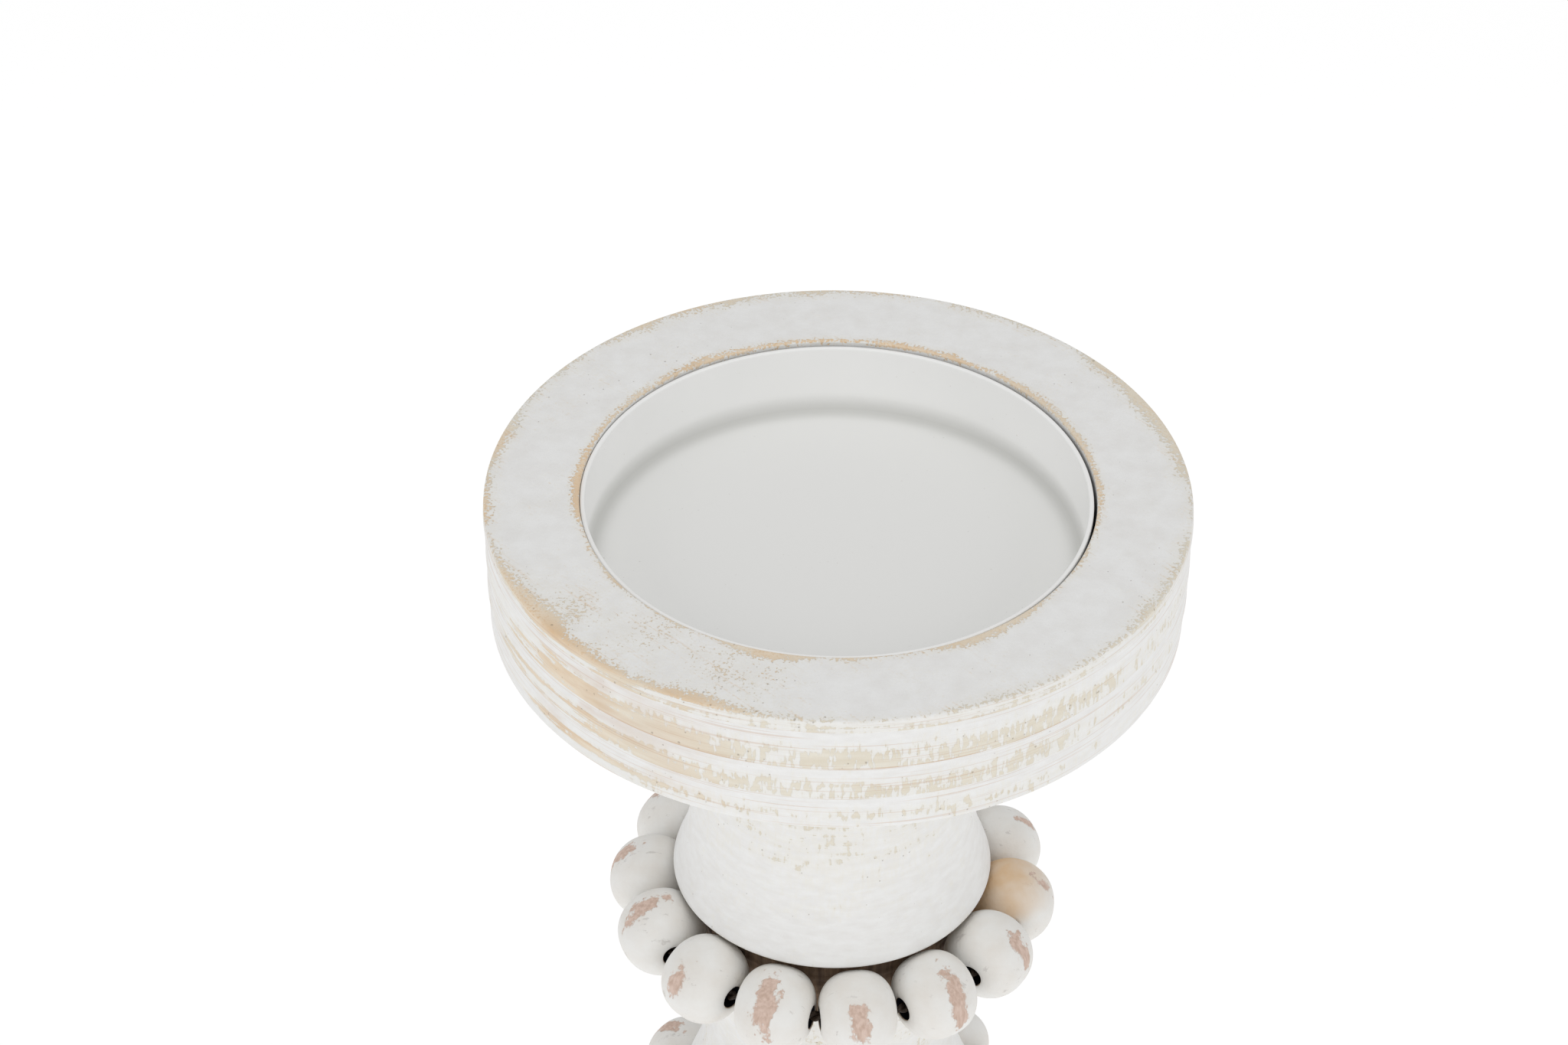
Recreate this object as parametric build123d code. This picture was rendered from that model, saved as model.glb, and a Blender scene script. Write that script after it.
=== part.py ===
from build123d import *
import math
import os

# Beaded wooden candlestick, standing on Z = 0 with its turned axis on Z. Millimetres.
# The front faces -Y. Turned pieces stack on a threaded rod, and two closed bead strings
# sit in the grooves between them.

# Overall sizes
TOTAL_HEIGHT = 254.0
CUP_RADIUS = 60.5
CUP_HEIGHT = 23.5
BASE_RADIUS = 62.0
BASE_HEIGHT = 24.0
PAD_RADIUS = 57.0
PAD_THICKNESS = 1.5

# Side of the cup and of the base: its slope, and the turned bands between steps that lie
# these distances from the sharp rim. A band's crown is a share of its length.
SIDE_TAPER = 0.027
BAND_STEPS = (2.4, 10.2, 16.6)
BAND_CROWN = 0.06
RIM_ROUND = 0.8
FAR_ROUND = 3.4

# Recess in the cup, and the pressed metal liner that stands in it
RECESS_RADIUS = 44.25
RECESS_DEPTH = 14.8
LINER_GAP = 0.45
LINER_SHEET = 0.8
LINER_BELOW_RIM = 0.6
LINER_CORNER = 3.0

# Beads and their strings: each ring's height, and the turn of its first bead from the front
BEAD_COUNT = 14
BEAD_RADIUS = 8.0
BEAD_HALF_LENGTH = 7.0
BEAD_FULLNESS = 2.4
BEAD_OUTLINE_SPANS = 16
BEAD_HOLE_RADIUS = 2.3
BEAD_HOLE_ROUND = 0.4
RING_RADIUS = 32.9
CORD_RING_RADIUS = 33.25
CORD_RADIUS = 1.0
UPPER_RING = TOTAL_HEIGHT - 91.9
LOWER_RING = TOTAL_HEIGHT - 153.9
UPPER_TURN = 8.7
LOWER_TURN = 5.6

# Grooves for the strings, between one section's skirt and the next one's shoulder
NECK_RADIUS = 24.5
SKIRT_RADIUS = 29.0
SHOULDER_RADIUS = 26.0
GROOVE_ABOVE = 7.5
GROOVE_BELOW = 7.7
EDGE_CHAMFER = 0.6

# Waists and far ends of the three column sections, as radius and height, and the way that
# each section's side leans at its lower and its upper edge
BELL_HIP = (25.4, 181.5)
BELL_WAIST = (22.8, 206.0)
BELL_TOP_RADIUS = 26.5
BELL_LEANS = [(-0.5, 0.9), (0.5, 0.85)]
SPOOL_HIP = (24.4, 122.0)
SPOOL_WAIST = (21.8, 136.0)
SPOOL_LEANS = [(-0.25, 1), (0.35, 1)]
FOOT_HIP = (27.6, 44.0)
FOOT_WAIST = (22.4, 70.0)
FOOT_RADIUS = 36.0
FOOT_LEANS = [(-0.75, 0.65), (0.3, 1)]

# M6 threaded rod that clamps the stack, with a thin nut and a washer at each end
ROD_RADIUS = 3.0
ROD_HOLE_RADIUS = 3.3
ROD_PROUD = 0.6
NUT_FLATS = 10.0
NUT_HEIGHT = 3.2
WASHER_RADIUS = 9.0
WASHER_THICKNESS = 1.6
POCKET_RADIUS = 10.0
BASE_POCKET_DEPTH = 9.0
LINER_CLEAR = 0.4

# Heights that follow from the sizes above
CUP_FLOOR = TOTAL_HEIGHT - CUP_HEIGHT
RECESS_FLOOR = TOTAL_HEIGHT - RECESS_DEPTH
BASE_TOP = PAD_THICKNESS + BASE_HEIGHT
HARDWARE_HEIGHT = WASHER_THICKNESS + NUT_HEIGHT
CUP_SEAT = RECESS_FLOOR - LINER_CLEAR - ROD_PROUD - HARDWARE_HEIGHT
BASE_SEAT = PAD_THICKNESS + BASE_POCKET_DEPTH


def turned(outline):
    """Revolve a closed outline, given as radius and height, about Z."""
    return revolve(Plane.XZ * make_face(Curve() + outline), Axis.Z)


def cylinder(radius, low, high):
    """Solid cylinder on the turned axis between two heights."""
    return Pos(0, 0, low) * extrude(Circle(radius), high - low)


def disc(radius, height):
    """Disc on Z = 0: flat rim face on top, tapered side in shallow crowned bands."""
    foot = radius - SIDE_TAPER * height
    low = (foot, FAR_ROUND)
    outline = [
        Line((0, 0), (foot - FAR_ROUND, 0)),
        TangentArc((foot - FAR_ROUND, 0), low, tangent=(1, 0)),
    ]
    for step in (*reversed(BAND_STEPS), RIM_ROUND):
        high = (radius - SIDE_TAPER * step, height - step)
        bulge = BAND_CROWN * (high[1] - low[1])
        crown = ((low[0] + high[0]) / 2 + bulge, (low[1] + high[1]) / 2)
        outline.append(ThreePointArc(low, crown, high))
        low = high
    outline += [
        Line(low, (radius - RIM_ROUND, height)),
        Line((radius - RIM_ROUND, height), (0, height)),
        Line((0, height), (0, 0)),
    ]
    return turned(outline)


def cup():
    """Wide turned cup with the liner's recess and a pocket for the top nut."""
    body = Pos(0, 0, CUP_FLOOR) * disc(CUP_RADIUS, CUP_HEIGHT)
    body -= cylinder(RECESS_RADIUS, RECESS_FLOOR, TOTAL_HEIGHT + 1)
    body -= cylinder(POCKET_RADIUS, CUP_SEAT, RECESS_FLOOR + 1)
    return body - cylinder(ROD_HOLE_RADIUS, CUP_FLOOR - 1, CUP_SEAT + 1)


def base():
    """Wide turned base, the cup's outline turned over, with the bottom nut's pocket."""
    body = Pos(0, 0, BASE_TOP) * Rot(180, 0, 0) * disc(BASE_RADIUS, BASE_HEIGHT)
    body -= cylinder(POCKET_RADIUS, PAD_THICKNESS - 1, BASE_SEAT)
    return body - cylinder(ROD_HOLE_RADIUS, BASE_SEAT - 1, BASE_TOP + 1)


def liner():
    """Pressed metal dish with a straight wall, open upward."""
    outer = RECESS_RADIUS - LINER_GAP
    top = TOTAL_HEIGHT - LINER_BELOW_RIM
    dish = cylinder(outer, RECESS_FLOOR, top)
    dish = fillet(dish.edges().group_by(Axis.Z)[0], LINER_CORNER)
    hollow = cylinder(outer - LINER_SHEET, RECESS_FLOOR + LINER_SHEET, top + 1)
    return dish - fillet(hollow.edges().group_by(Axis.Z)[0], LINER_CORNER - LINER_SHEET)


def section(low_radius, low, inner_points, high_radius, high, leans):
    """Column section: a flowing side between two chamfered edges, bored for the rod."""
    low_edge = (low_radius, low + EDGE_CHAMFER)
    high_edge = (high_radius, high - EDGE_CHAMFER)
    outline = [
        Line((0, low), (low_radius - EDGE_CHAMFER, low)),
        Line((low_radius - EDGE_CHAMFER, low), low_edge),
        Spline(low_edge, *inner_points, high_edge, tangents=leans),
        Line(high_edge, (high_radius - EDGE_CHAMFER, high)),
        Line((high_radius - EDGE_CHAMFER, high), (0, high)),
        Line((0, high), (0, low)),
    ]
    return turned(outline) - cylinder(ROD_HOLE_RADIUS, low - 1, high + 1)


def bell():
    """Top section, flaring down to a crisp skirt over the upper beads."""
    low = UPPER_RING + GROOVE_ABOVE
    inner = [BELL_HIP, BELL_WAIST]
    return section(SKIRT_RADIUS, low, inner, BELL_TOP_RADIUS, CUP_FLOOR, BELL_LEANS)


def spool():
    """Middle section between the two bead strings."""
    low = LOWER_RING + GROOVE_ABOVE
    high = UPPER_RING - GROOVE_BELOW
    inner = [SPOOL_HIP, SPOOL_WAIST]
    return section(SKIRT_RADIUS, low, inner, SHOULDER_RADIUS, high, SPOOL_LEANS)


def foot():
    """Bottom section, spreading on to the base."""
    high = LOWER_RING - GROOVE_BELOW
    inner = [FOOT_HIP, FOOT_WAIST]
    return section(FOOT_RADIUS, BASE_TOP, inner, SHOULDER_RADIUS, high, FOOT_LEANS)


def neck(ring):
    """Plain collar that a bead string sits round."""
    low = ring - GROOVE_BELOW
    high = ring + GROOVE_ABOVE
    return cylinder(NECK_RADIUS, low, high) - cylinder(ROD_HOLE_RADIUS, low - 1, high + 1)


def bead_outline(angle):
    """Point of the bead's superellipse outline: half length along X, radius along Y."""
    along = abs(math.cos(angle)) ** (2 / BEAD_FULLNESS)
    across = math.sin(angle) ** (2 / BEAD_FULLNESS)
    return (math.copysign(BEAD_HALF_LENGTH * along, math.cos(angle)), BEAD_RADIUS * across)


def bead():
    """Full round bead at the origin, its hole along X and the hole's rims rounded."""
    hole_angle = math.asin((BEAD_HOLE_RADIUS / BEAD_RADIUS) ** (BEAD_FULLNESS / 2))
    span = (math.pi - 2 * hole_angle) / BEAD_OUTLINE_SPANS
    side = [bead_outline(hole_angle + span * step) for step in range(BEAD_OUTLINE_SPANS + 1)]
    outline = [Spline(*side), Line(side[-1], side[0])]
    body = revolve(make_face(Curve() + outline), Axis.X)
    rims = [edge for edge in body.edges() if edge.bounding_box().size.Z < BEAD_RADIUS]
    rims = [edge for edge in rims if edge.geom_type == GeomType.CIRCLE]
    return fillet(rims, BEAD_HOLE_ROUND)


def bead_nodes(name, ring, first_turn):
    """One string's beads, spaced evenly round the column, by node name."""
    shape = bead()
    nodes = {}
    for index in range(BEAD_COUNT):
        turn = first_turn + 360 / BEAD_COUNT * index
        place = Pos(0, 0, ring) * Rot(0, 0, turn) * Pos(0, -RING_RADIUS, 0)
        nodes[f"{name}_bead_{index + 1:02d}"] = place * shape
    return nodes


def cord(ring):
    """Closed cord of a bead string."""
    return Pos(0, 0, ring) * Torus(CORD_RING_RADIUS, CORD_RADIUS)


def rod():
    """Threaded rod at its outside diameter."""
    reach = HARDWARE_HEIGHT + ROD_PROUD
    return cylinder(ROD_RADIUS, BASE_SEAT - reach, CUP_SEAT + reach)


def washer(low):
    """Flat washer standing on a height."""
    high = low + WASHER_THICKNESS
    return cylinder(WASHER_RADIUS, low, high) - cylinder(ROD_HOLE_RADIUS, low - 1, high + 1)


def nut(low):
    """Thin hexagon nut, its bore at the thread's outside diameter."""
    hexagon = RegularPolygon(NUT_FLATS / 2, 6, major_radius=False)
    body = Pos(0, 0, low) * extrude(hexagon, NUT_HEIGHT)
    return body - cylinder(ROD_RADIUS, low - 1, low + NUT_HEIGHT + 1)


def build():
    """Every node of the candlestick, by name."""
    nodes = {
        "candle_cup": cup(),
        "metal_liner": liner(),
        "bell_section": bell(),
        "upper_neck": neck(UPPER_RING),
        "spool_section": spool(),
        "lower_neck": neck(LOWER_RING),
        "foot_section": foot(),
        "base_disc": base(),
        "felt_pad": cylinder(PAD_RADIUS, 0, PAD_THICKNESS),
        "threaded_rod": rod(),
        "rod_washers": Compound([washer(CUP_SEAT), washer(BASE_SEAT - WASHER_THICKNESS)]),
        "rod_nuts": Compound([nut(CUP_SEAT + WASHER_THICKNESS), nut(BASE_SEAT - HARDWARE_HEIGHT)]),
        "upper_cord": cord(UPPER_RING),
        "lower_cord": cord(LOWER_RING),
    }
    nodes.update(bead_nodes("upper", UPPER_RING, UPPER_TURN))
    nodes.update(bead_nodes("lower", LOWER_RING, LOWER_TURN))
    return nodes


os.makedirs("parts", exist_ok=True)
for node, shape in build().items():
    export_step(shape, f"parts/{node}.step")
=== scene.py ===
"""Beaded wooden candlestick: turned limewashed pieces, bead strings and a metal liner."""

import math

import bpy
import numpy as np
from mathutils import Matrix, Vector


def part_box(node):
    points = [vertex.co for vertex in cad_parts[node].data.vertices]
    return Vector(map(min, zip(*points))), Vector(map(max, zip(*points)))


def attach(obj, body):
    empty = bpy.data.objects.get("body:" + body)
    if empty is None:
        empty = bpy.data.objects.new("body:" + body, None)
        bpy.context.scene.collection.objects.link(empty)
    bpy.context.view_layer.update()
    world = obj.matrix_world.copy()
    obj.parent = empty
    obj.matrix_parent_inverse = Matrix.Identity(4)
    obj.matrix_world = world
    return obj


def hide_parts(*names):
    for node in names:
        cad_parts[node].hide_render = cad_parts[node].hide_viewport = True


bl_info = {
    "name": "Beaded Candlestick",
    "version": (1, 0, 0),
    "blender": (4, 5, 0),
    "location": "View3D > Sidebar > Candlestick",
    "description": "Builds the turned, limewashed candlestick and its bead strings",
    "category": "Add Mesh",
}

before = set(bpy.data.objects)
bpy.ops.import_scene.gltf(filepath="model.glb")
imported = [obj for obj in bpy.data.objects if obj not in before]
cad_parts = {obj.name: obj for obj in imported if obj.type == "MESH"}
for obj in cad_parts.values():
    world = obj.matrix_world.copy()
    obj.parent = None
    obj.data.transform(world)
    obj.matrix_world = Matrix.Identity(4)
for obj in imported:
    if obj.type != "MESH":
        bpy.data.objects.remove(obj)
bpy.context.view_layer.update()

MM = 0.001
TWO_PI = 2 * math.pi
COLUMN_BODY = "candlestick"
COLUMN_NODES = ("bell_section", "spool_section", "foot_section")
STRINGS = ("upper", "lower")
BEAD_NODES = [node for node in sorted(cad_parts) if "_bead_" in node]

# Steps in the discs' sides and the end of the last band, millimetres from the sharp rim,
# and the slope of the side
BAND_STEPS = (2.4, 10.2, 16.6)
LAST_BAND_END = 24.0
SIDE_TAPER = 0.027
# Millimetres: how far the frame's crowned bands stand out past the rim, how far in from the
# rim a disc's side may lie, and how wide a fan closes the middle of a piece with no bore
BAND_CROWN = 0.3
SIDE_REACH = 4.5
FAN_RADIUS = 2.0
# Points on each rounded corner of an outline
ARC_POINTS = 7
# Millimetres: a washer's thickness, and the room round washers, the rod and the liner
WASHER = 1.6
POCKET_ROOM = 1.0
ROD_ROOM = 0.3
LINER_ROOM = 0.45

# Rubbed arcs of a disc's rim: degrees from the front towards +X, half width in degrees,
# reach over the flat face and down the side in millimetres, and warmth of the wood
RIM_RUBS = (
    (-50, 24, 1.5, 1.3, 1.0),
    (-22, 12, 1.7, 0.8, 0.9),
    (12, 16, 0.3, 0.3, 0.2),
    (45, 22, 0.5, 0.3, 0.2),
    (112, 28, 2.1, 1.0, 0.35),
    (-84, 9, 0.9, 0.9, 0.9),
    (-102, 5, 2.2, 0.8, 0.8),
    (-150, 14, 1.4, 0.8, 0.6),
    (172, 16, 0.8, 0.6, 0.5),
)
# Rubbed arcs of the recess's edge, which has no side
RECESS_RUBS = (
    (-14, 7, 1.6, 0.0, 0.8),
    (36, 13, 1.9, 0.0, 0.3),
    (180, 70, 0.5, 0.0, 1.0),
    (-95, 40, 0.5, 0.0, 1.0),
    (95, 30, 0.4, 0.0, 0.8),
)
# Columns of both tables
OVER_FLAT, DOWN_SIDE, WARMTH = 2, 3, 4


# ---------------------------------------------------------------- sizes from the frame


def top_of(node):
    """Height of a node's highest point, millimetres."""
    return float(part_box(node)[1][2]) / MM


def foot_of(node):
    """Height of a node's lowest point, millimetres."""
    return float(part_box(node)[0][2]) / MM


def radius_of(node):
    """Half of a node's width along X, millimetres."""
    low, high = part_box(node)
    return float(high[0] - low[0]) / 2 / MM


def extent(node):
    """Lowest and highest heights of a node and its radius, millimetres."""
    return foot_of(node), top_of(node), radius_of(node)


def rod_hole():
    """Radius of the holes for the rod, millimetres."""
    return radius_of("threaded_rod") + ROD_ROOM


def side_of(node):
    """Outside radius against height of a turned node, read from its own vertices."""
    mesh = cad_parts[node].data
    points = np.empty(len(mesh.vertices) * 3)
    mesh.vertices.foreach_get("co", points)
    points = points.reshape(-1, 3) / MM
    radius = np.hypot(points[:, 0], points[:, 1])
    levels, level_of = np.unique(np.round(points[:, 2], 3), return_inverse=True)
    widest = np.zeros(len(levels))
    np.maximum.at(widest, level_of.ravel(), radius)
    return levels, widest


# ---------------------------------------------------------------- meshes


def circle(count):
    """Even angles round a full turn."""
    return np.linspace(0, TWO_PI, count, endpoint=False)


def rounded(corners, is_open=False):
    """Outline through (radius, height, rounding, gap) corners, in millimetres.

    At each corner an arc of ARC_POINTS touches both sides: it starts at rounding / tan(half
    the corner's angle) from the corner. The run after a corner gets points its gap apart. An
    open outline ends at its last corner instead of going back to its first.
    """
    points = []
    count = len(corners)
    for index, (radius, height, turn, gap) in enumerate(corners):
        here = np.array([radius, height])
        back = np.array(corners[index - 1][:2]) - here
        ahead = np.array(corners[(index + 1) % count][:2]) - here
        run = np.linalg.norm(ahead)
        back = back / np.linalg.norm(back)
        ahead = ahead / run
        reach = 0.0
        if turn > 0:
            half = math.acos(np.clip(back @ ahead, -1, 1)) / 2
            reach = turn / math.tan(half)
            middle = back + ahead
            centre = here + middle / np.linalg.norm(middle) * turn / math.sin(half)
            share = np.linspace(0, 1, ARC_POINTS)[:, None]
            arc = (here + back * reach - centre) * (1 - share)
            arc = arc + (here + ahead * reach - centre) * share
            points.append(centre + arc / np.linalg.norm(arc, axis=1)[:, None] * turn)
        else:
            points.append(here[None])
        if is_open and index == count - 1:
            break
        steps = max(2, round(run / gap))
        share = np.linspace(0, 1, steps, endpoint=False)[1:, None]
        between = here + ahead * run * share
        clear = 1.2 * corners[(index + 1) % count][2] + gap * 0.3
        inside = (run * share[:, 0] > reach + gap * 0.3) & (run * (1 - share[:, 0]) > clear)
        points.append(between[inside])
    return np.vstack(points)


def turned(outline, around, wobble=0.0, seed=1):
    """Grid of an outline carried round Z, angles from the front (-Y) towards +X.

    The radius is out by wobble times a sum of slow waves round the piece and up it, as
    hand turning and sanding leave it.
    """
    turn = circle(around)[None, :]
    radius = outline[:, :1]
    height = outline[:, 1:]
    phase = np.random.default_rng(seed).uniform(0, TWO_PI, 6)
    waves = sum(
        np.cos(count * turn + phase[count] + height * (0.05 + 0.04 * count)) / count
        for count in range(2, 6)
    )
    radius = radius + wobble * waves
    across = radius * np.sin(turn)
    depth = -radius * np.cos(turn)
    return np.stack([across, depth, np.broadcast_to(height, across.shape)], axis=-1)


def grid_faces(rows, columns, poles):
    """Faces of a grid that closes round its columns: quads, and a fan at each end if poles.

    Without poles the last row joins the first, so the grid is a ring. With them each end
    row has a vertex of its own at its middle, numbered after the grid's.
    """
    row = np.arange(rows - 1 if poles else rows)[:, None]
    column = np.arange(columns)[None, :]
    next_row = (row + 1) % rows
    next_column = (column + 1) % columns
    corners = (
        row * columns + column,
        row * columns + next_column,
        next_row * columns + next_column,
        next_row * columns + column,
    )
    quads = np.stack(corners, axis=-1).reshape(-1, 4)
    column = column[0]
    next_column = next_column[0]
    last = (rows - 1) * columns
    start = np.stack([next_column, column, np.full(columns, rows * columns)], axis=-1)
    finish = np.stack([last + column, last + next_column, np.full(columns, rows * columns + 1)],
                      axis=-1)
    return quads, np.vstack([start, finish]) if poles else np.empty((0, 3), dtype=int)


def surface(name, grids, attributes=None, poles=False):
    """Closed smooth object from (rows, columns, 3) grids in millimetres, faces outwards.

    The signed volume, a sixth of the sum of a . (b x c) over triangles, tells which way
    the faces point, and they are turned over if it is negative.
    """
    quads, fans, points, total = [], [], [], 0
    for grid in grids:
        rows, columns, _ = grid.shape
        place = grid.reshape(-1, 3)
        if poles:
            place = np.vstack([place, grid[0].mean(axis=0), grid[-1].mean(axis=0)])
        four, three = grid_faces(rows, columns, poles)
        a, b, c, d = (place[four[:, k]] for k in range(4))
        turn_over = (a * (np.cross(b, c) + np.cross(c, d))).sum() < 0
        quads.append((four[:, ::-1] if turn_over else four) + total)
        fans.append((three[:, ::-1] if turn_over else three) + total)
        points.append(place)
        total += len(place)
    points = np.vstack(points) * MM
    quads, fans = np.vstack(quads), np.vstack(fans)
    starts = np.concatenate([np.arange(len(quads)) * 4, quads.size + np.arange(len(fans)) * 3])
    corners = np.concatenate([quads.ravel(), fans.ravel()])
    mesh = bpy.data.meshes.new(name)
    mesh.vertices.add(len(points))
    mesh.vertices.foreach_set("co", points.ravel())
    mesh.loops.add(len(corners))
    mesh.loops.foreach_set("vertex_index", corners.astype(np.int32))
    mesh.polygons.add(len(starts))
    mesh.polygons.foreach_set("loop_start", starts.astype(np.int32))
    mesh.polygons.foreach_set("use_smooth", np.ones(len(starts), dtype=bool))
    mesh.update(calc_edges=True)
    for key, values in (attributes or {}).items():
        values = np.asarray(values, dtype=np.float32)
        ends = [values[0].mean(), values[-1].mean()] if poles else []
        data = mesh.attributes.new(key, "FLOAT", "POINT").data
        data.foreach_set("value", np.append(values, ends).astype(np.float32))
    piece = bpy.data.objects.new(name, mesh)
    bpy.context.collection.objects.link(piece)
    return piece


def degrees_between(turn, centre):
    """Signed angle in degrees from a centre to each turn, within half a circle."""
    return (np.degrees(turn) - centre + 180) % 360 - 180


def rubbed(turn, rubs, column):
    """Largest value of one column of a rub table at each turn, each fading as a bell curve."""
    amount = np.zeros_like(turn)
    for rub in rubs:
        fade = np.exp(-((degrees_between(turn, rub[0]) / rub[1]) ** 2))
        amount = np.maximum(amount, rub[column] * fade)
    return amount


def dress(piece, make, body, slot, *nodes):
    """Gives a piece its finish and body, and hides the nodes that it stands for; slot is not used.
    """
    piece.data.materials.append(finish(make))
    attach(piece, body)
    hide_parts(*nodes)


# ---------------------------------------------------------------- settings


def linear(code):
    """sRGB hex code to a linear RGBA colour."""
    channels = np.array([int(code[i:i + 2], 16) for i in (1, 3, 5)]) / 255
    low = channels / 12.92
    high = ((channels + 0.055) / 1.055) ** 2.4
    return (*np.where(channels <= 0.04045, low, high).tolist(), 1.0)


def tint(name, code, description):
    """Colour setting with an sRGB hex default."""
    return bpy.props.FloatVectorProperty(
        name=name, description=description, default=linear(code),
        subtype="COLOR", size=4, min=0.0, max=1.0)


def length(name, default, description):
    """Length setting in metres."""
    return bpy.props.FloatProperty(
        name=name, description=description, default=default,
        min=0.0, subtype="DISTANCE", unit="LENGTH")


class CandlestickSize(bpy.types.PropertyGroup):
    """Fineness and irregularity of the pieces."""

    disc_segments: bpy.props.IntProperty(
        name="Disc segments", default=432, min=64, description="Faces round the cup and base")
    column_segments: bpy.props.IntProperty(
        name="Column segments", default=288, min=48, description="Faces round the column")
    bead_segments: bpy.props.IntProperty(
        name="Bead segments", default=64, min=16, description="Faces round each bead's hole")
    band_relief: length("Band relief", 0.00022, "Height of each step in the discs' sides")
    disc_wobble: length("Disc wobble", 0.00014, "How far the discs are out of round")
    column_wobble: length("Column wobble", 0.00011, "How far the column is out of round")
    liner_sheet: length("Liner sheet", 0.0008, "Thickness of the liner's steel")
    cord_twist: length("Cord twist", 0.004, "Length of one turn of the cord's strands")
    thread_pitch: length("Thread pitch", 0.001, "Distance between the rod's crests")


class CandlestickLook(bpy.types.PropertyGroup):
    """Colours of the finishes."""

    wash: tint("Wash", "#F3F3F2", "Limewash where it is thick")
    wash_hollow: tint("Wash hollow", "#EDECEA", "Limewash in the brush's hollows")
    thin_wash: tint("Thin wash", "#EFECE3", "Limewash that lets the wood through")
    pale_wood: tint("Pale wood", "#EAE6DA", "Sanded wood in even light")
    pale_grain: tint("Pale grain", "#E2DCCC", "Grain of pale sanded wood")
    warm_wood: tint("Warm wood", "#EFDEC7", "Sanded wood where it is warm")
    warm_grain: tint("Warm grain", "#E4C6A2", "Grain of warm sanded wood")
    pore: tint("Pore", "#8A7A68", "Open pores")
    hairline: tint("Hairline", "#CBA684", "Bare line in the corner of each step")
    bead_paint: tint("Bead paint", "#F0EFEC", "Chalk paint of the beads")
    bead_paint_warm: tint("Warm bead paint", "#EAE6E0", "Chalk paint in patches")
    bead_wood: tint("Bead wood", "#E0C9BC", "Scraped bead wood")
    bead_grain: tint("Bead grain", "#CBB0A0", "Grain of scraped bead wood")
    bead_scuff: tint("Bead scuff", "#C2BDB8", "Grey scuffs on the beads")
    bead_stain: tint("Bead stain", "#DDB582", "Warm stain on two beads")
    # Near black painted inside the beads' holes: the shade that falls in them
    bore_shade: tint("Bore", "#15151D", "Inside of the beads' holes")
    # The necks are bare wood, their brown darkened with painted shade from the bells and beads
    # round them
    neck_wood: tint("Neck wood", "#8B735C", "Unpainted neck")
    neck_grain: tint("Neck grain", "#5E4A3A", "Grain of the neck")
    coat: tint("Powder coat", "#FDFDFC", "Liner")
    coat_dust: tint("Dusty powder coat", "#EFEFED", "Liner's floor")
    # Grey painted into the liner's inside corner: the shade that falls where its wall meets its
    # floor
    coat_corner: tint("Painted corner shade", "#C9C9C5", "Shade painted into the liner's inside corner")
    # Grey painted on the liner's outside so that the thin gap round it reads dark: painted shade
    primer: tint("Gap shade", "#66696E", "Grey painted on the liner's outside as the shade in the gap round it")
    zinc: tint("Zinc", "#B9BBBE", "Plated steel")
    zinc_shade: tint("Zinc shade", "#8E9095", "Plated steel in patches")
    cord: tint("Cord", "#4A3A2C", "Cord strands")
    # Dark between the cord's fibres: painted shade in the crevices
    cord_shade: tint("Cord shade", "#221A14", "Between the cord's fibres")
    felt: tint("Felt", "#D8D3C8", "Felt fibres")
    felt_shade: tint("Felt shade", "#B4ADA0", "Felt hollows")


# ---------------------------------------------------------------- finishes


def add(tree, kind, output, inputs=None, **settings):
    """Adds a node with its settings and its linked or set inputs, and returns one output."""
    node = tree.nodes.new("ShaderNode" + kind)
    for key, value in settings.items():
        setattr(node, key, value)
    for key, value in (inputs or {}).items():
        if isinstance(value, bpy.types.NodeSocket):
            tree.links.new(value, node.inputs[key])
        else:
            node.inputs[key].default_value = value
    return node.outputs[output]


def per_size(*size):
    """Mapping scale that makes a pattern's cells as long as sizes in millimetres."""
    return tuple(1 / (side * MM) for side in size)


def new_finish(name, sheen, **constants):
    """Material with a principled shader whose even values are set on its own sockets."""
    material = bpy.data.materials.new(name)
    material.use_nodes = True
    tree = material.node_tree
    shader = tree.nodes["Principled BSDF"]
    shader.inputs["Specular IOR Level"].default_value = sheen
    for key, value in constants.items():
        shader.inputs[key].default_value = value
    return material, tree, shader


def connect(tree, shader, colour, layers, relief=None, depth=0.0, strength=0.0, rough=None):
    """Joins a finish to its shader: a colour with (amount, colour) layers over it in turn.

    relief stands out by depth, in millimetres, times strength, and rough is the roughness.
    """
    for amount, over in layers:
        colour = add(tree, "Mix", 2, {0: amount, 6: colour, 7: over}, data_type="RGBA")
    tree.links.new(colour, shader.inputs["Base Color"])
    if relief is not None:
        values = {"Height": relief, "Distance": depth * MM, "Strength": strength}
        tree.links.new(add(tree, "Bump", 0, values), shader.inputs["Normal"])
    if rough is not None:
        tree.links.new(rough, shader.inputs["Roughness"])


def finish(make):
    """A finish, made once and worn by every piece that needs it."""
    return bpy.data.materials.get(make.__name__) or make(bpy.context.scene.candlestick_look)


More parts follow.
